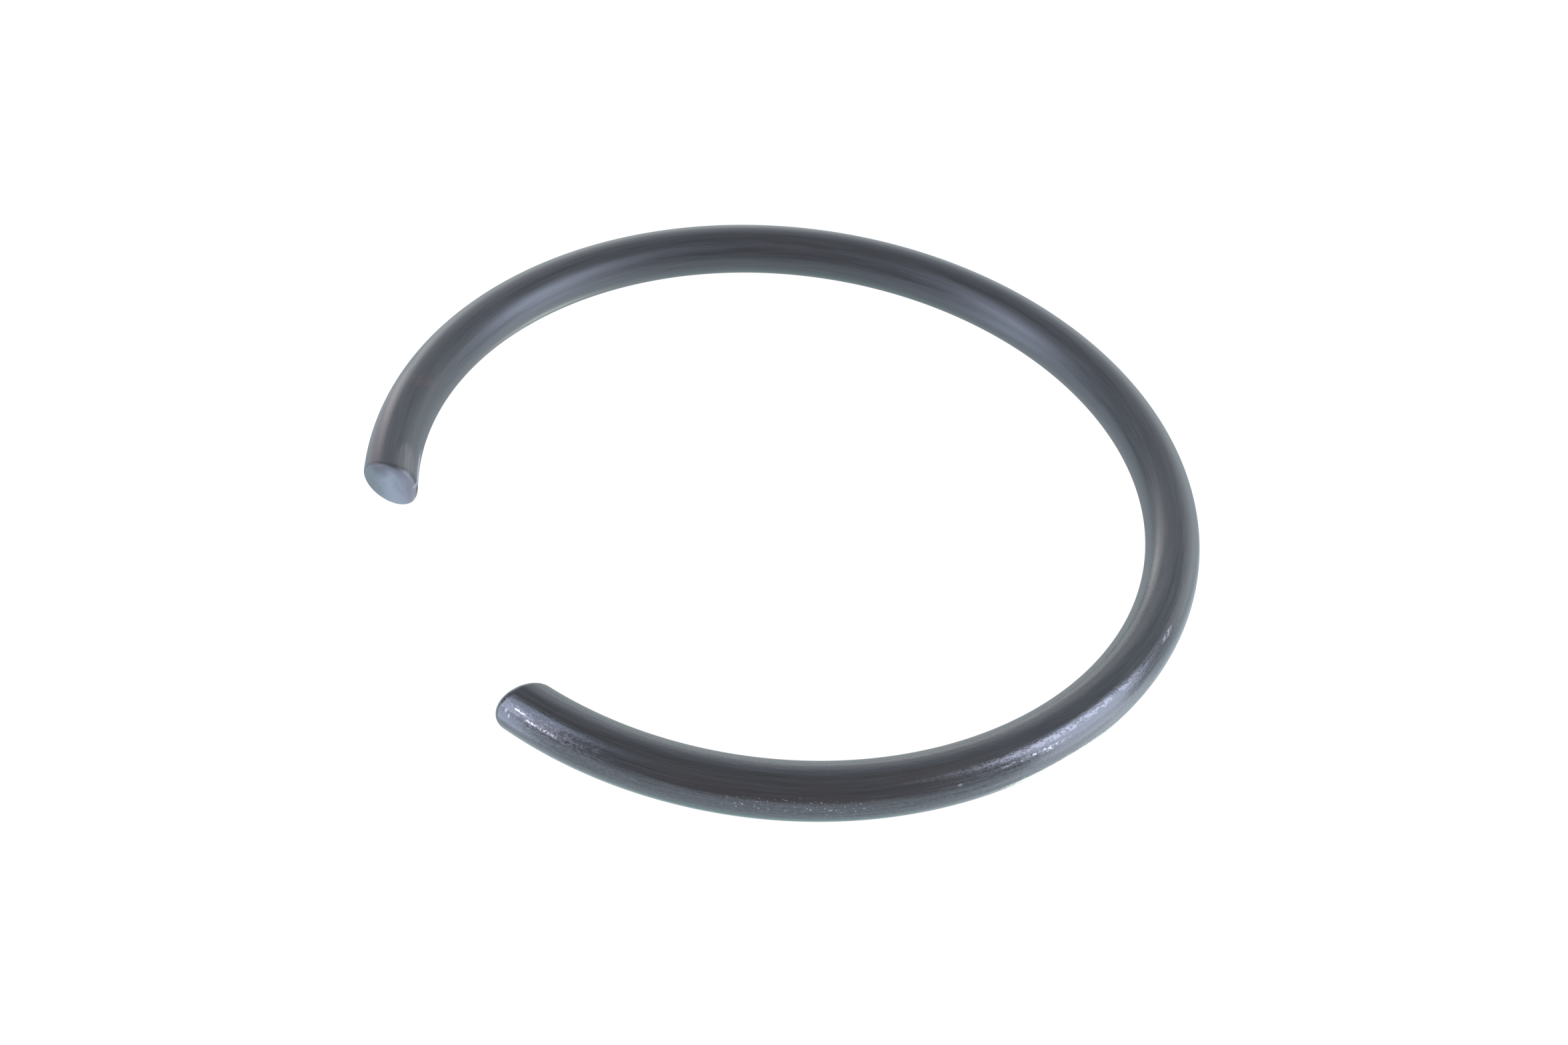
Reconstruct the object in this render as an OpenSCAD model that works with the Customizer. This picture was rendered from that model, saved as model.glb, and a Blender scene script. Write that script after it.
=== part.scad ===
// Open retaining ring of round spring wire.
// One length of wire is bent to a circle and cut off at a slant at both ends.
// The ring lies in the XY plane with its axis along Z, and its gap faces -Y.
// Its origin is on the ring's axis, at half the height of the wire.

/* [Wire] */
// Diameter of the wire
wire_d = 2; // [1.2:0.1:3.2]

/* [Ring] */
// Inside diameter of the relaxed ring
inside_d = 27.2; // [20:0.1:60]
// Straight distance between the middles of the two cut faces
gap_w = 11.6; // [9:0.1:18]

/* [Cut ends] */
// Slant of the left cut in the ring's plane, which leaves the inner side longer
left_slant = 33; // [0:1:40]
// Slant of the right cut in the ring's plane, which leaves the outer side longer
right_slant = 26; // [0:1:40]
// Tilt that turns both cut faces down, out of the ring's plane
cut_tilt = 5; // [0:1:15]
// Radius that rounds the edge of each cut face
edge_r = 0.25; // [0.1:0.05:0.4]

/* [Hidden] */
$fn = 96;

wire_r = wire_d / 2;
ring_r = (inside_d + wire_d) / 2;
gap_at = 270;
half_gap = asin(gap_w / 2 / ring_r);

// Each end is a short piece of wire, bent too long and then cut back. The long
// arc between them overlaps both, so that all three join into one wire.
end_l = 1.25 * wire_d;
stock_l = wire_d;
overlap_l = 0.25 * wire_d;
end_angle = end_l / ring_r * 180 / PI;
stock_angle = stock_l / ring_r * 180 / PI;
arc_angle = (end_l - overlap_l) / ring_r * 180 / PI;

// A cut keeps what lies inside a plug with a rounded edge. That edge is a little
// wider than the wire, so that it trims the wire's edge without touching its
// side, and behind it the plug flares, to stay clear of the wire.
side_clearance = edge_r * 0.2;
plug_r = wire_r + side_clearance;
plug_l = 2 * wire_d;

// Wire bent round the ring's axis, from one angle to another
module bent_wire(from, to) {
    rotate([0, 0, from])
        rotate_extrude(angle = to - from)
            translate([ring_r, 0])
                circle(wire_r);
}

// Half of the plug's section: end face along y = 0, rounded edge, flared side
module plug_section() {
    translate([0, -plug_l])
        square([plug_r - edge_r, plug_l]);
    polygon([
        [0, -plug_l],
        [plug_r - edge_r + plug_l, -plug_l],
        [plug_r, -edge_r],
        [0, -edge_r],
    ]);
    translate([plug_r - edge_r, -edge_r])
        circle(edge_r);
}

// Half a round plug on the +X side, with its end face towards +Y
module round_half() {
    rotate([-90, 0, 0])
        rotate([0, 0, -90])
            rotate_extrude(angle = 180)
                plug_section();
}

// The plug is as long in X as the slanted cut face, and round at both ends.
// It reaches further on its +X side, because the wire leans that way behind it.
module rounded_plug(slant) {
    stretch = plug_r / cos(slant) - wire_r;
    short_x = stretch + edge_r * tan(slant);
    translate([short_x, 0, 0])
        round_half();
    translate([-stretch, 0, 0])
        mirror([1, 0, 0])
            round_half();
    translate([-stretch, 0, 0])
        rotate([0, 90, 0])
            linear_extrude(short_x + stretch) {
                plug_section();
                mirror([1, 0])
                    plug_section();
            }
}

// The wire comes from -Y and the middle of its cut face is at the origin. A
// positive slant makes the wire shorter on the +X side.
module turned_plug(slant) {
    rotate([-cut_tilt, 0, -slant])
        rounded_plug(slant);
}

// The left end, where the wire runs anticlockwise into the gap
module left_end() {
    face_at = gap_at - half_gap;
    intersection() {
        bent_wire(face_at - end_angle, face_at + stock_angle);
        rotate([0, 0, face_at])
            translate([ring_r, 0, 0])
                turned_plug(left_slant);
    }
}

// The right end, where the wire runs clockwise into the gap
module right_end() {
    face_at = gap_at + half_gap;
    intersection() {
        bent_wire(face_at - stock_angle, face_at + end_angle);
        rotate([0, 0, face_at])
            translate([ring_r, 0, 0])
                rotate([0, 0, 180])
                    turned_plug(right_slant);
    }
}

// The wire between the two ends
module long_arc() {
    bent_wire(gap_at + half_gap + arc_angle - 360, gap_at - half_gap - arc_angle);
}

module retaining_ring() {
    color([0.24, 0.25, 0.28]) {
        long_arc();
        left_end();
        right_end();
    }
}

retaining_ring();
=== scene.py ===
"""Looks of an open retaining ring of round spring wire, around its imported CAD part.

The ring lies in the XY plane round the origin and its gap faces -Y. The wire is
swept as one closed mesh between two slanted, rounded cut faces. A point on it is
named by three wire coordinates: the angle round the section (0 points away from
the ring's axis, 90 degrees points up), the distance from the middle of the wire,
and the distance along it.
"""

import math

import bpy
import numpy as np
from mathutils import Matrix, Vector


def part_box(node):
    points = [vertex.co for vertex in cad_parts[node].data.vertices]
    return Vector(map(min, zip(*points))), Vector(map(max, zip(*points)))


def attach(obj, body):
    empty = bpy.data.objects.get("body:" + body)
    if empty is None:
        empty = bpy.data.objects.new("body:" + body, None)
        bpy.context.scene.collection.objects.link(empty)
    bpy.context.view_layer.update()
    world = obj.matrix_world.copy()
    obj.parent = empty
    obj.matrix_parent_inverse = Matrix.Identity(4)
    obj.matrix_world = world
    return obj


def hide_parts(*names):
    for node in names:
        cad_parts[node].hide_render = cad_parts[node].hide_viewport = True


MM = 0.001
NODE = "retaining_ring"

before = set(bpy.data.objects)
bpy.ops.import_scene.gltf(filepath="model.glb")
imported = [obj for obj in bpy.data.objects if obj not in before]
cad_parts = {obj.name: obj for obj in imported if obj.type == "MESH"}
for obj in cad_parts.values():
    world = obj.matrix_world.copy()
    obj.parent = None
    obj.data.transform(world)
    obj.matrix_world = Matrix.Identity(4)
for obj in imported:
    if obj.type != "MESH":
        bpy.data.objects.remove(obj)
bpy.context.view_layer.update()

# ---------------------------------------------------------------- the ring's sizes

low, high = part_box(NODE)
WIRE_R = (high.z - low.z) / 2
RING_R = (high.x - low.x) / 2 - WIRE_R

GAP_WIDTH = 11.6 * MM  # straight, between the middles of the cut faces
GAP_AT = math.radians(270)
HALF_GAP = math.asin(GAP_WIDTH / 2 / RING_R)
CUT_TILT = math.radians(5)  # turns both cut faces down
LEFT_SLANT = math.radians(33)  # leaves the inner side of the left end longer
RIGHT_SLANT = math.radians(-26)  # leaves the outer side of the right end longer
EDGE_R = 0.22 * MM  # rounds the edge of each cut face
SHOULDER_R = 0.40 * MM  # that radius on the left end's inner shoulder, where it is worn
SHOULDER_AT = math.radians(146)
SHOULDER_REACH = math.radians(78)
CROWN = 0.08 * MM  # the left face bulges by this much

# ---------------------------------------------------------------- the wire's mesh

AROUND = 96  # points round the section
ALONG = 880  # rows between the two ends
ROUND_ROWS = 9  # rows over the rounded edge of a cut face
FACE_ROWS = 22  # rows from that edge to the middle of the face
BLEND = 6 * MM  # rows turn from the slanted ends to square over this length
NEARLY = 0.98  # of the wire's radius: how far in the slope of a cut is measured


def cut_at(x, z, slant):
    """Distance past the middle of the cut face at which a straight cut ends the wire.

    x is measured away from the ring's axis and z up, both from the wire's middle.
    """
    reach = RING_R * math.sin(slant) + z * math.tan(CUT_TILT)
    return RING_R * (np.arcsin(reach / (RING_R + x)) - slant)


def end_profile(angle, slant, edge_r, crown):
    """Rows of (distance from the wire's middle, past the face's middle, share of face).

    They start where the rounded edge leaves the wire's side and end at the middle.
    """
    c, s = np.cos(angle), np.sin(angle)
    rim = cut_at(WIRE_R * c, WIRE_R * s, slant)
    nearby = cut_at(NEARLY * WIRE_R * c, NEARLY * WIRE_R * s, slant)
    slope = (rim - nearby) / ((1 - NEARLY) * WIRE_R)
    corner = np.arctan2(1, slope)
    back = edge_r / np.tan(corner / 2)
    centre_rho = WIRE_R - edge_r
    centre_s = rim - back
    rows = []
    for i in range(ROUND_ROWS):
        turn = (math.pi - corner) * i / (ROUND_ROWS - 1)
        rho = centre_rho + edge_r * np.cos(turn)
        share = i / (ROUND_ROWS - 1)
        rows.append((rho, centre_s + edge_r * np.sin(turn), share))
    edge_rho, edge_s, _ = rows[-1]
    straight = cut_at(edge_rho * c, edge_rho * s, slant)
    for i in range(1, FACE_ROWS):
        out = 1 - i / FACE_ROWS
        rho = edge_rho * out
        past = cut_at(rho * c, rho * s, slant) + (edge_s - straight) * out
        rows.append((rho, past + crown * (1 - out**2), 1))
    return rows


def wire_rows():
    """All rows of the mesh, from the right face's middle to the left face's middle.

    Each row is three arrays: the distance from the wire's middle, the angle round
    the ring, and how much of the point belongs to a cut face.
    """
    angle = np.arange(AROUND) * 2 * math.pi / AROUND
    start = GAP_AT + HALF_GAP
    stop = GAP_AT - HALF_GAP + 2 * math.pi
    near = np.clip((angle - SHOULDER_AT) / SHOULDER_REACH, -1, 1)
    worn_r = EDGE_R + (SHOULDER_R - EDGE_R) * np.cos(near * math.pi / 2) ** 2
    right = end_profile(angle, RIGHT_SLANT, np.full(AROUND, EDGE_R), 0)
    left = end_profile(angle, LEFT_SLANT, worn_r, CROWN)
    rows = []
    for rho, past, share in reversed(right):
        rows.append((rho, start - past / RING_R, share))
    for step in range(1, ALONG):
        phi = start + (stop - start) * step / ALONG
        from_start = min(1, (phi - start) * RING_R / BLEND)
        from_stop = min(1, (stop - phi) * RING_R / BLEND)
        shift = -right[0][1] * (1 - from_start) ** 2 + left[0][1] * (1 - from_stop) ** 2
        rows.append((np.full(AROUND, WIRE_R), phi + shift / RING_R, 0))
    for rho, past, share in left:
        rows.append((rho, stop + past / RING_R, share))
    return angle, rows, start, stop


def ring_mesh():
    """The wire as one closed mesh, with its wire coordinates as attributes."""
    angle, rows, start, stop = wire_rows()
    rho = np.array([r[0] for r in rows])
    phi = np.array([r[1] for r in rows])
    face = np.repeat(np.array([r[2] for r in rows], float)[:, None], AROUND, 1)
    w = np.broadcast_to(angle, rho.shape)
    out = RING_R + rho * np.cos(w)
    points = np.stack([out * np.cos(phi), out * np.sin(phi), rho * np.sin(w)], -1)
    middle = (start + stop) / 2
    space = np.stack([rho * np.cos(w), rho * np.sin(w), (phi - middle) * RING_R], -1)
    tips = [start, stop + CROWN / RING_R]
    tip_points = [[RING_R * math.cos(p), RING_R * math.sin(p), 0] for p in tips]
    tip_spaces = [[0, 0, (p - middle) * RING_R] for p in (start, stop)]
    vertices = np.concatenate([points.reshape(-1, 3), tip_points])
    spaces = np.concatenate([space.reshape(-1, 3), tip_spaces]) / WIRE_R
    last = (len(rows) - 1) * AROUND
    start_tip = len(rows) * AROUND
    stop_tip = start_tip + 1
    faces = []
    for a in range(0, last, AROUND):
        b = a + AROUND
        for j in range(AROUND):
            k = (j + 1) % AROUND
            faces.append((a + j, b + j, b + k, a + k))
    for j in range(AROUND):
        k = (j + 1) % AROUND
        faces.append((start_tip, j, k))
        faces.append((stop_tip, last + k, last + j))
    mesh = bpy.data.meshes.new("ring_wire")
    mesh.from_pydata(vertices.tolist(), [], faces)
    mesh.attributes.new("wire_space", "FLOAT_VECTOR", "POINT")
    mesh.attributes["wire_space"].data.foreach_set("vector", spaces.astype(np.float32).ravel())
    mesh.attributes.new("cut_face", "FLOAT", "POINT")
    cut = np.concatenate([face.ravel(), [1, 1]]).astype(np.float32)
    mesh.attributes["cut_face"].data.foreach_set("value", cut)
    mesh.shade_smooth()
    mesh.update()
    return mesh


# ---------------------------------------------------------------- material


# Noises: scale round the section, scale along the wire, detail, roughness
NOISES = {
    "lines": (17, 0.45, 3, 0.65),
    "broad": (5, 0.16, 3, 0.55),
    "grain": (15, 8, 2, 0.6),
    "mottle": (9, 2.6, 3, 0.6),
    "cloud": (1.3, 0.35, 3, 0.6),
    "fleck": (15, 5.5, 3, 0.65),
    "glint_breaks": (15, 13, 2, 0.6),
    "speck": (16, 9, 1, 0.5),
    "shear": (5, 5, 3, 0.6),
}
STREAK = [("lines", 0.6), ("broad", 0.4)]
# Grain of the lighter lower flank, which is dusty grey and painted reflection
DUST_AND_REFLECTION_GRAIN = [("lines", 0.5), ("grain", 0.5)]
MOTTLED = [("mottle", 0.4), ("grain", 0.6)]
RELIEF = [("lines", 0.7), ("broad", 0.9), ("grain", 0.8), ("mottle", 0.8)]
RELIEF_DEPTH = 0.005 * MM
RELIEF_FAR = 0.22  # share of the relief on the far side, which is smoother

WORN_FADE = (-16, -6)  # along the wire: worn on the near side, and hardly beyond
FLANK_FADE = (0.62, 0.30)  # radians round the section: the lighter flank is below, dusty and with painted reflection
PATCH_FADE = (0.2, 1.6)  # square of the distance from a patch's middle

# Marks: where they are (middle along the wire, angle of the middle in degrees,
# length, width in radians; lengths in wire radii), the noise that breaks them up,
# two values of that noise, and how strong the mark is at each. The places were read
# off the photograph by eye, and a separate program turned them into these units.
BROWN_TINGE = ((-28.24, 48, 14, 1.2), "cloud", (0.35, 0.60), (0.0, 0.5))
PINK_TINGE = ((-10.09, 125, 7, 0.5), "lines", (0.40, 0.60), (0.2, 0.8))
RUST = ((34.87, 108, 0.7, 1.1), "grain", (0.40, 0.60), (0.0, 0.5))
# The two rubbed patches lie on the near side's two highlights: thinner oxide, and painted
# highlight that brightens and mottles them
TIP_RUB_AND_HIGHLIGHT = ((-38.6, 38, 4.8, 0.72), "mottled", (0.47, 0.58), (0.0, 0.7))
RIDGE_RUB_AND_HIGHLIGHT = ((-20.4, 54, 11, 0.26), "mottled", (0.42, 0.54), (0.1, 0.95))
# A streak of polish on the far end's outer side, lightened and warmed by painted sheen
POLISHED_AND_SHEEN = ((37.3, 50, 6, 0.75), "broad", (0.30, 0.70), (0.55, 0.85))
SMUDGE = ((39.4, 124, 1.9, 0.75), "lines", (0.35, 0.60), (0.2, 0.75))
# Scuffed spots and specks of steel; the three short marks at about -39 to -38 along the wire
# are painted glints along the near end
SCUFFS_AND_GLINTS = [
    ((-22.0, 38, 2.8, 0.16), "fleck", (0.51, 0.60), (0.0, 1.0)),
    ((-39.35, 43, 0.5, 0.07), "glint_breaks", (0.43, 0.53), (0.0, 1.0)),
    ((-38.8, 35, 0.5, 0.08), "glint_breaks", (0.43, 0.53), (0.0, 1.0)),
    ((-38.15, 34, 0.9, 0.10), "glint_breaks", (0.43, 0.53), (0.0, 1.0)),
    ((-29.97, 18, 4.5, 0.6), "speck", (0.66, 0.72), (0.0, 1.0)),
    ((-14.45, 50, 0.9, 0.15), "fleck", (0.42, 0.58), (0.0, 0.75)),
]
# Where the lighter flank reaches up under the near-right highlight: dusty grey and painted
# reflection
DUST_AND_REFLECTION_PATCH = (-21.5, 37, 8, 0.5)
# Two ticks by the near end's face, a dot, and a painted highlight on the rim beside the far
# end's face
NICKS_AND_GLINT = [
    (-39.80, 30, 0.08, 0.18),
    (-39.64, 23, 0.07, 0.20),
    (-24.78, 31, 0.16, 0.09),
    (39.2, 169, 2.2, 0.2),
]
NICK_AND_GLINT_STRENGTH = 0.55

# Colours, as linear red, green and blue
OXIDE_DARK = (0.028, 0.029, 0.030)
OXIDE_LIGHT = (0.054, 0.054, 0.055)
BROWN_COLOUR = (0.050, 0.041, 0.037)
PINK_COLOUR = (0.088, 0.072, 0.068)
RUST_COLOUR = (0.115, 0.060, 0.052)
# The lighter lower flank: a dusty grey that is also painted reflection of the lit table
DUST_AND_REFLECTION_COLOUR = (0.102, 0.106, 0.104)
# Thinner oxide, and the colour of the painted highlights on the near side
THIN_OXIDE_HIGHLIGHT = (0.21, 0.20, 0.21)
# The streak of polish, with its painted sheen
POLISHED_SHEEN_COLOUR = (0.225, 0.185, 0.178)
SMUDGE_COLOUR = (0.155, 0.135, 0.130)
# Steel showing through, also the colour of the painted glints and highlight
BARE_STEEL_AND_GLINT = (0.57, 0.53, 0.54)
# The cut faces are bright sheared steel; across them, painted reflection, bluish in the
# middle, and painted shade, darker and greener, on the outer side
CUT_INNER_REFLECTION = (0.275, 0.268, 0.287)
CUT_MIDDLE_REFLECTION = (0.280, 0.300, 0.335)
CUT_OUTER_SHADE = (0.135, 0.160, 0.155)
# A painted shadow: a dark band on the far end face's upper rim
RIM_SHADOW_COLOUR = (0.085, 0.080, 0.082)
RIM_SHADOW_AT = (0.40, 0.90, 39.65)  # wire coordinates, on the far end face's upper rim
RIM_SHADOW_REACH = (0.20, 0.72)  # wire radii
RIM_SHADOW_STRENGTH = 0.85

METAL_MARKS = 0.6  # how metallic the marks and the cut faces are
METAL_CUT = 0.3
GLOSS_FAR = 0.37  # roughness on the far side and on the worn near side
GLOSS_NEAR = 0.19
GLOSS_CUT = 0.10  # more on the cut faces
IOR = 1.72


class Graph:
    """Short ways to add nodes to a material."""

    def __init__(self, tree):
        self.tree = tree

    def set(self, socket, value):
        """Link a socket to another socket, or give it a plain value."""
        if isinstance(value, bpy.types.NodeSocket):
            self.tree.links.new(value, socket)
        else:
            socket.default_value = value

    def node(self, kind, *inputs, **settings):
        """A node with these settings, whose first inputs are sockets or plain values."""
        made = self.tree.nodes.new(kind)
        for name, value in settings.items():
            setattr(made, name, value)
        for socket, value in zip(made.inputs, inputs):
            self.set(socket, value)
        return made

    def math(self, operation, *values):
        return self.node("ShaderNodeMath", *values, operation=operation).outputs[0]

    def times(self, first, second):
        return self.math("MULTIPLY", first, second)

    def plus(self, first, second):
        return self.math("ADD", first, second)

    def most(self, *values):
        """The largest of some values."""
        most = values[0]
        for value in values[1:]:
            most = self.math("MAXIMUM", most, value)
        return most

    def ramp(self, value, low, high, to_low=0.0, to_high=1.0):
        """value, brought smoothly from low..high to to_low..to_high."""
        node = self.node("ShaderNodeMapRange", interpolation_type="SMOOTHSTEP")
        self.set(node.inputs["Value"], value)
        self.set(node.inputs["From Min"], low)
        self.set(node.inputs["From Max"], high)
        self.set(node.inputs["To Min"], to_low)
        self.set(node.inputs["To Max"], to_high)
        return node.outputs[0]

    def mix(self, share, first, second):
        """A colour between first and second, which are sockets or plain colours."""
        node = self.node("ShaderNodeMix", data_type="RGBA")
        self.set(node.inputs[0], share)
        for socket, colour in [(node.inputs[6], first), (node.inputs[7], second)]:
            plain = isinstance(colour, tuple)
            self.set(socket, (*colour, 1) if plain else colour)
        return node.outputs[2]


class Wire(Graph):
    """A material on the wire, with the wire's coordinates and the noises it shares."""

    def __init__(self, tree):
        super().__init__(tree)
        space = self.node("ShaderNodeAttribute", attribute_name="wire_space")
        self.space = space.outputs["Vector"]
        parts = self.node("ShaderNodeSeparateXYZ", self.space)
        self.across, up, self.along = parts.outputs
        self.turn = self.math("ARCTAN2", up, self.across)
        self.worn = self.ramp(self.along, *WORN_FADE, 1, 0)
        self.noises = {name: self.noise(*sizes) for name, sizes in NOISES.items()}
        self.noises["mottled"] = self.blend(MOTTLED)
        self.streak = self.blend(STREAK)

    def noise(self, around, along, detail, roughness):
        """A noise that is drawn out along the wire."""
        place = self.node("ShaderNodeVectorMath", self.space, operation="MULTIPLY")
        place.inputs[1].default_value = (around, around, along)
        node = self.node("ShaderNodeTexNoise", place.outputs[0])
        node.inputs["Scale"].default_value = 1
        node.inputs["Detail"].default_value = detail
        node.inputs["Roughness"].default_value = roughness
        return node.outputs["Fac"]

    def blend(self, shares):
        """The sum of some noises, each times its share."""
        name, share = shares[0]
        total = self.times(self.noises[name], share)
        for name, share in shares[1:]:
            total = self.plus(total, self.times(self.noises[name], share))
        return total

    def patch(self, middle, angle, length, width):
        """1 inside an oval patch of the wire's side and 0 outside it."""
        from_middle = self.math("SUBTRACT", self.along, middle)
        from_angle = self.math("SUBTRACT", self.turn, math.radians(angle))
        du = self.math("DIVIDE", from_middle, length / 2)
        dv = self.math("DIVIDE", from_angle, width / 2)
        square = self.plus(self.times(du, du), self.times(dv, dv))
        return self.ramp(square, *PATCH_FADE, 1, 0)

    def mark(self, place, noise, edges, strengths):
        """A patch, broken up by a noise."""
        broken = self.ramp(self.noises[noise], *edges, *strengths)
        return self.times(self.patch(*place), broken)


def oxide_colour(wire):
    """A neutral black with streaks, brown and rusty in places, and a lighter lower flank on
    the near side, partly dusty grey and partly painted reflection.
    """
    base = wire.mix(wire.ramp(wire.streak, 0.35, 0.65), OXIDE_DARK, OXIDE_LIGHT)
    base = wire.mix(wire.mark(*BROWN_TINGE), base, BROWN_COLOUR)
    base = wire.mix(wire.mark(*PINK_TINGE), base, PINK_COLOUR)
    base = wire.mix(wire.mark(*RUST), base, RUST_COLOUR)
    # Lightens the lower flank: dusty grey and painted reflection
    flank = wire.most(wire.ramp(wire.turn, *FLANK_FADE), wire.patch(*DUST_AND_REFLECTION_PATCH))
    flank = wire.times(flank, wire.worn)
    dust_and_reflection = wire.times(flank, wire.ramp(wire.blend(DUST_AND_REFLECTION_GRAIN), 0.32, 0.66))
    return wire.mix(dust_and_reflection, base, DUST_AND_REFLECTION_COLOUR)


def rubbed_and_highlight_colour(wire, base):
    """Oxide worn down to let the steel show, with painted highlight over it on the near side,
    and a streak of polish with painted sheen by the far end. Gives the share of these too.
    """
    thin_and_highlight = wire.most(wire.mark(*TIP_RUB_AND_HIGHLIGHT), wire.mark(*RIDGE_RUB_AND_HIGHLIGHT))
    base = wire.mix(thin_and_highlight, base, THIN_OXIDE_HIGHLIGHT)
    polished_and_sheen = wire.mark(*POLISHED_AND_SHEEN)
    base = wire.mix(polished_and_sheen, base, POLISHED_SHEEN_COLOUR)
    base = wire.mix(wire.mark(*SMUDGE), base, SMUDGE_COLOUR)
    return base, wire.most(thin_and_highlight, polished_and_sheen)


def scuffed_and_glint_colour(wire, base):
    """Steel showing through the oxide where it is scuffed, and painted glints and a painted
    highlight in the same colour. Gives the share of these too.
    """
    scuffs_and_glints = wire.most(*[wire.mark(*each_mark) for each_mark in SCUFFS_AND_GLINTS])
    nicks_and_glint = wire.most(*[wire.patch(*small_mark) for small_mark in NICKS_AND_GLINT])
    bare_and_glint = wire.most(scuffs_and_glints, wire.times(nicks_and_glint, NICK_AND_GLINT_STRENGTH))
    return wire.mix(bare_and_glint, base, BARE_STEEL_AND_GLINT), bare_and_glint


def cut_colour(wire, base):
    """The cut faces are sheared bright, with painted reflection across them, painted shade,
    darker and greener, on their outer side, and a painted shadow on the far face's upper rim.
    """
    face = wire.node("ShaderNodeAttribute", attribute_name="cut_face").outputs["Fac"]
    cut = wire.ramp(face, 0.15, 0.6)
    sheared = wire.ramp(wire.noises["shear"], 0.3, 0.7, -0.08, 0.08)
    side = wire.plus(wire.across, sheared)
    bright = wire.mix(wire.ramp(side, -0.9, -0.2), CUT_INNER_REFLECTION, CUT_MIDDLE_REFLECTION)
    bright = wire.mix(wire.ramp(side, -0.2, 0.75), bright, CUT_OUTER_SHADE)
    reach = wire.node("ShaderNodeVectorMath", wire.space, RIM_SHADOW_AT, operation="DISTANCE")
    rim_shadow = wire.ramp(reach.outputs["Value"], *RIM_SHADOW_REACH, RIM_SHADOW_STRENGTH, 0)
    bright = wire.mix(rim_shadow, bright, RIM_SHADOW_COLOUR)
    return wire.mix(cut, base, bright), cut


def roughness(wire, cut):
    """Smoother on the worn side, and rougher in the draw lines and on the cut faces."""
    gloss = wire.ramp(wire.worn, 0, 1, GLOSS_FAR, GLOSS_NEAR)
    gloss = wire.plus(gloss, wire.ramp(wire.streak, 0.35, 0.7, -0.03, 0.07))
    grain = wire.ramp(wire.noises["grain"], 0.3, 0.7, -0.02, 0.04)
    gloss = wire.plus(gloss, wire.times(grain, wire.worn))
    return wire.plus(gloss, wire.times(cut, GLOSS_CUT))


def relief(wire):
    """Draw lines and grain in the surface."""
    strength = wire.ramp(wire.worn, 0, 1, RELIEF_FAR, 1.0)
    bump = wire.node("ShaderNodeBump")
    bump.inputs["Strength"].default_value = 1.0
    bump.inputs["Distance"].default_value = RELIEF_DEPTH
    wire.set(bump.inputs["Height"], wire.times(wire.blend(RELIEF), strength))
    return bump.outputs[0]


def steel():
    """Drawn spring wire with an oiled black oxide, worn on one side of the ring."""
    material = bpy.data.materials.new("blackened_wire")
    material.use_nodes = True
    wire = Wire(material.node_tree)
    base = oxide_colour(wire)
    base, thin_and_highlight = rubbed_and_highlight_colour(wire, base)
    base, bare_and_glint = scuffed_and_glint_colour(wire, base)
    base, cut = cut_colour(wire, base)
    metal = wire.times(wire.most(bare_and_glint, thin_and_highlight), METAL_MARKS)
    metal = wire.most(metal, wire.times(cut, METAL_CUT))
    shader = material.node_tree.nodes["Principled BSDF"]
    wire.set(shader.inputs["Base Color"], base)
    wire.set(shader.inputs["Metallic"], metal)
    wire.set(shader.inputs["Roughness"], roughness(wire, cut))
    wire.set(shader.inputs["Normal"], relief(wire))
    shader.inputs["IOR"].default_value = IOR
    return material


# ---------------------------------------------------------------- stage and lights

# Directions are given as the camera sees them: 0 degrees is straight away from
# it, positive is to its right, and 180 is behind it.
VIEW_AZIMUTH = math.radians(56.05)
LIGHT_DISTANCE = 0.8

# These lights began as the output of a separate program, which fitted them to the
# brightness of the photographed wire. Some were then changed, and backdrop_top was
# added.
PANELS = [
    # name, left and right edge, lower and upper edge, radiance, colour
    ("right_softbox", 79, 110, 6, 45, 5.1, (0.68, 0.77, 1.0)),
    ("right_in_table", 74, 114, -48, -14, 1.0, (0.79, 0.85, 1.0)),
    ("right_low", 85, 112, -20, 8, 2.75, (0.75, 0.80, 1.0)),
    ("left_softbox", -126, -104, -42, 60, 3.3, (0.62, 0.73, 1.0)),
    ("left_core", -132, -108, 6, 34, 2.2, (0.80, 0.82, 1.0)),
    ("backdrop_left", -41, 12, -8, 21, 0.76, (0.94, 1.0, 1.0)),
    ("backdrop_right", 12, 66, -8, 26, 0.84, (0.94, 1.0, 1.0)),
    ("backdrop_edge", -42, -29, -1, 23, 2.0, (1.0, 0.97, 0.98)),
    ("backdrop_top", -15, 10, 26, 40, 0.6, (1.0, 0.99, 0.97)),
    ("table_spot", 44, 62, -62, -54, 4.5, (0.96, 1.0, 0.90)),
    ("far_glow", -24, 0, 1, 18, 0.45, (1.0, 0.88, 0.66)),
]


def seen_direction(azimuth, elevation):
    """Unit vector of a direction given in degrees as the camera sees it."""
    turn = math.radians(90) + VIEW_AZIMUTH - math.radians(azimuth)
    flat = math.cos(math.radians(elevation))
    return Vector(
        (flat * math.cos(turn), flat * math.sin(turn), math.sin(math.radians(elevation)))
    )


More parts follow.
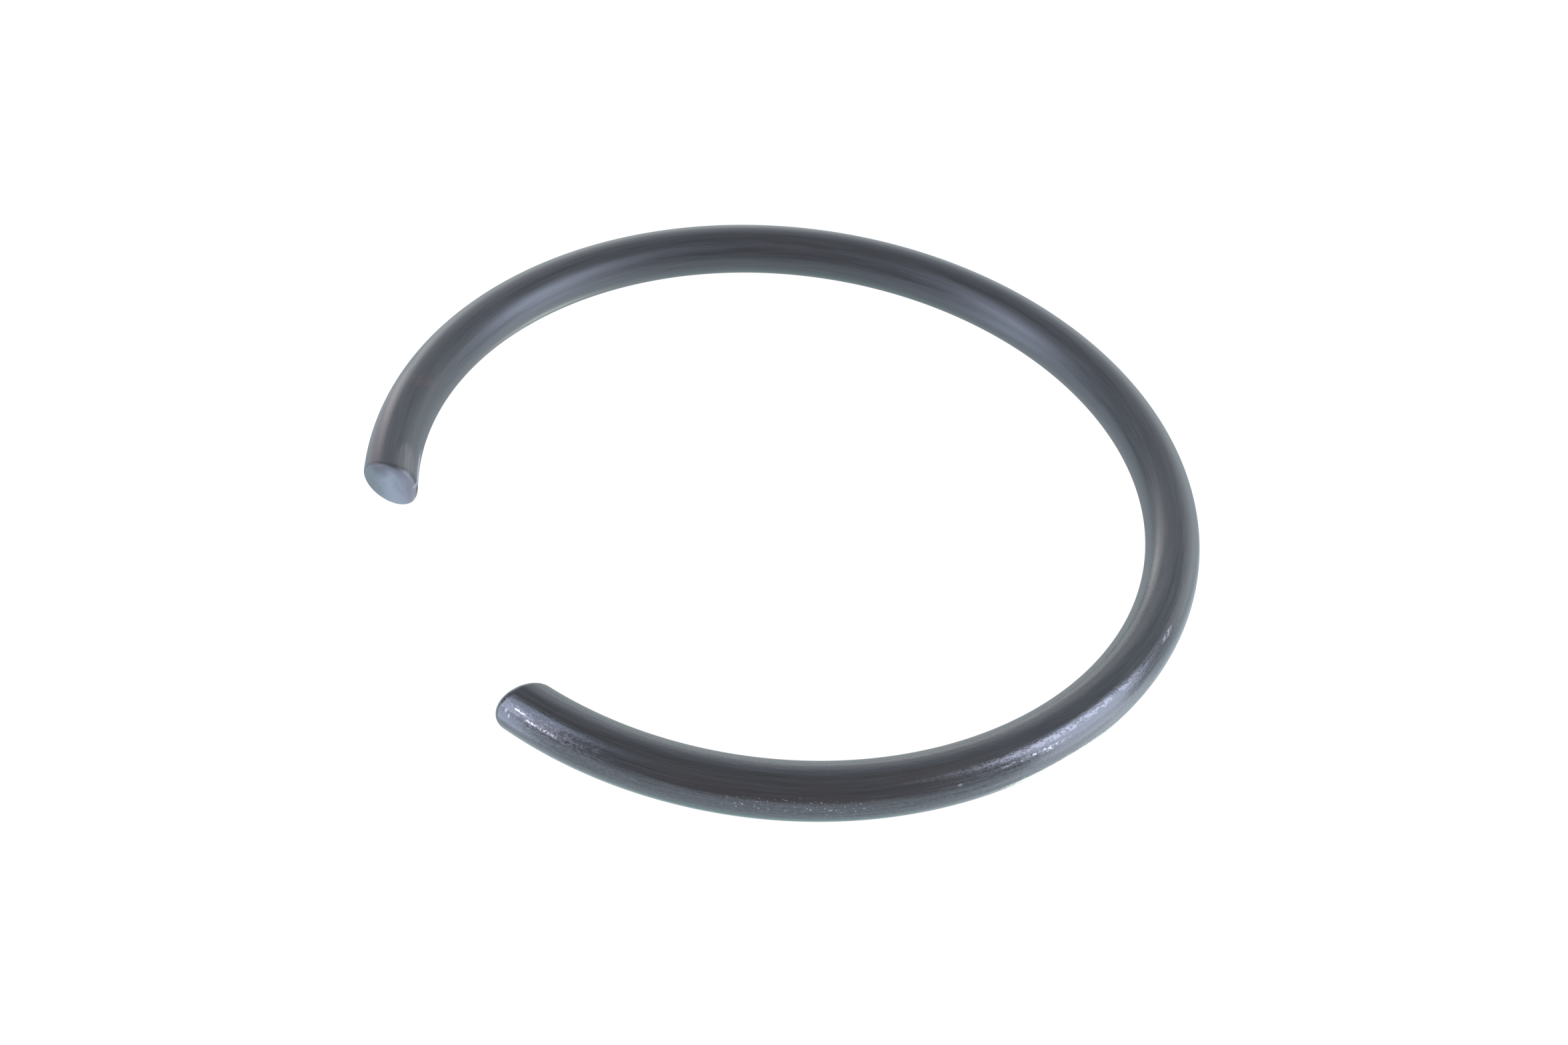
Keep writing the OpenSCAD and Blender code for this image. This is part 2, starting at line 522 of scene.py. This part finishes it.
def panel(name, left, right, bottom, top, radiance, colour):
    """A rectangular light that covers those directions as seen from the ring."""
    light = bpy.data.lights.new(name, "AREA")
    light.shape = "RECTANGLE"
    light.size = 2 * LIGHT_DISTANCE * math.tan(math.radians(right - left) / 2)
    light.size_y = 2 * LIGHT_DISTANCE * math.tan(math.radians(top - bottom) / 2)
    light.energy = radiance * math.pi * light.size * light.size_y
    light.color = colour
    lamp = bpy.data.objects.new(name, light)
    away = seen_direction((left + right) / 2, (bottom + top) / 2)
    lamp.location = away * LIGHT_DISTANCE
    lamp.rotation_euler = away.to_track_quat("Z", "Y").to_euler()
    lamp.visible_camera = False
    bpy.context.scene.collection.objects.link(lamp)


for entry in PANELS:
    panel(*entry)


TABLE_HALF = 2.0
TABLE_GLOW = 1.05
WHITE = (1, 1, 1)


def emission(name, colour, strength):
    """A material that only glows."""
    material = bpy.data.materials.new(name)
    material.use_nodes = True
    nodes = material.node_tree.nodes
    nodes.clear()
    glow = nodes.new("ShaderNodeEmission")
    glow.inputs["Color"].default_value = (*colour, 1)
    glow.inputs["Strength"].default_value = strength
    out = nodes.new("ShaderNodeOutputMaterial")
    material.node_tree.links.new(glow.outputs[0], out.inputs["Surface"])
    return material


def floor():
    """A lit white table, which is why the ring casts no shadow on it."""
    signs = [(-1, -1), (1, -1), (1, 1), (-1, 1)]
    corners = [(x * TABLE_HALF, y * TABLE_HALF, -WIRE_R) for x, y in signs]
    mesh = bpy.data.meshes.new("light_table")
    mesh.from_pydata(corners, [], [(0, 1, 2, 3)])
    mesh.materials.append(emission("white_light", WHITE, TABLE_GLOW))
    table = bpy.data.objects.new("light_table", mesh)
    bpy.context.scene.collection.objects.link(table)
    table.visible_shadow = False
    table.visible_glossy = False
    table.visible_diffuse = False


floor()

# Radiance of the rest of the room by height (-1 straight down, 0 level, 1 up),
# away from the camera and behind it. The colours come from that same program.
ROOM_AHEAD = [
    (-0.97, (0.67, 1.00, 1.00)),
    (-0.93, (0.97, 1.15, 1.22)),
    (-0.05, (0.97, 1.15, 1.22)),
    (0.05, (0.67, 0.76, 0.88)),
    (0.82, (0.67, 0.76, 0.88)),
    (0.92, (0.37, 0.37, 0.38)),
]
ROOM_BEHIND = [
    (-0.97, (0.67, 1.00, 1.00)),
    (-0.93, (0.82, 0.91, 1.06)),
    (-0.05, (0.82, 0.91, 1.06)),
    (0.05, (0.28, 0.26, 0.28)),
    (0.82, (0.28, 0.26, 0.28)),
    (0.92, (0.37, 0.37, 0.38)),
]

# The room is grey, as if a card lay on the table, in the direction that the wire's
# rims reflect. This gives the wire a dark outline against the white background.
SHADE_AT = -43  # degrees above level, straight away from the camera
SHADE_SPREAD = (14, 32)  # degrees from that direction: all grey, and no longer grey
SHADE = (0.59, 0.62, 0.645)


def room():
    """Surroundings: pure white to the camera, and the studio to everything else."""
    world = bpy.data.worlds.new("studio")
    bpy.context.scene.world = world
    world.use_nodes = True
    tree = world.node_tree
    tree.nodes.clear()
    g = Graph(tree)
    direction = g.node("ShaderNodeTexCoord").outputs["Generated"]
    height = g.node("ShaderNodeSeparateXYZ", direction).outputs["Z"]
    level = g.math("MULTIPLY_ADD", height, 0.5, 0.5)
    forward = seen_direction(0, 0)
    away = g.node("ShaderNodeVectorMath", direction, forward, operation="DOT_PRODUCT")
    ahead = g.math("MULTIPLY_ADD", away.outputs["Value"], 0.5, 0.5)
    sides = []
    for stops in (ROOM_BEHIND, ROOM_AHEAD):
        ramp = g.node("ShaderNodeValToRGB", level)
        elements = ramp.color_ramp.elements
        while len(elements) < len(stops):
            elements.new(0.5)
        for element, (position, colour) in zip(elements, stops):
            element.position = (position + 1) / 2
            element.color = (*colour, 1)
        sides.append(ramp.outputs["Color"])
    studio = g.mix(ahead, *sides)
    card = seen_direction(0, SHADE_AT)
    facing = g.node("ShaderNodeVectorMath", direction, card, operation="DOT_PRODUCT")
    near, far = (math.cos(math.radians(angle)) for angle in SHADE_SPREAD)
    studio = g.mix(g.ramp(facing.outputs["Value"], far, near), studio, SHADE)
    seen = g.node("ShaderNodeLightPath").outputs["Is Camera Ray"]
    sky = g.node("ShaderNodeBackground", g.mix(seen, studio, WHITE))
    g.node("ShaderNodeOutputWorld", sky.outputs[0])


room()

bpy.context.scene.view_settings.view_transform = "Standard"

# ---------------------------------------------------------------- the ring

ring = bpy.data.objects.new("ring_wire", ring_mesh())
ring.data.materials.append(steel())
bpy.context.scene.collection.objects.link(ring)
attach(ring, "root")
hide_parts(NODE)

# ---------------------------------------------------------------- camera

# Angles in radians, fitted to the photographed outline. A separate program fitted these
# to the photographed outline.
CAMERA_ELEVATION = 0.7468433
CAMERA_DISTANCE = 5.82979 * RING_R
CAMERA_PAN = 0.0013015
CAMERA_TILT = 0.0156141
CAMERA_ROLL = -0.1274694
LENS = 52.158  # mm
SENSOR = 36  # mm
CLIP_START = 0.005
CLIP_END = 20


def camera():
    """The photograph's view, from beside the gap and above."""
    data = bpy.data.cameras.new("photo_view")
    data.lens = LENS
    data.sensor_width = SENSOR
    data.clip_start = CLIP_START
    data.clip_end = CLIP_END
    view = bpy.data.objects.new("photo_view", data)
    away = Vector((0, -math.cos(CAMERA_ELEVATION), math.sin(CAMERA_ELEVATION)))
    around = Matrix.Rotation(VIEW_AZIMUTH, 4, "Z")
    look = Matrix.Rotation(math.radians(90) - CAMERA_ELEVATION, 4, "X")
    aim = (
        Matrix.Rotation(-CAMERA_PAN, 4, "Y")
        @ Matrix.Rotation(-CAMERA_TILT, 4, "X")
        @ Matrix.Rotation(-CAMERA_ROLL, 4, "Z")
    )
    place = Matrix.Translation(away * CAMERA_DISTANCE)
    view.matrix_world = around @ place @ look @ aim
    bpy.context.scene.collection.objects.link(view)
    bpy.context.scene.camera = view


camera()
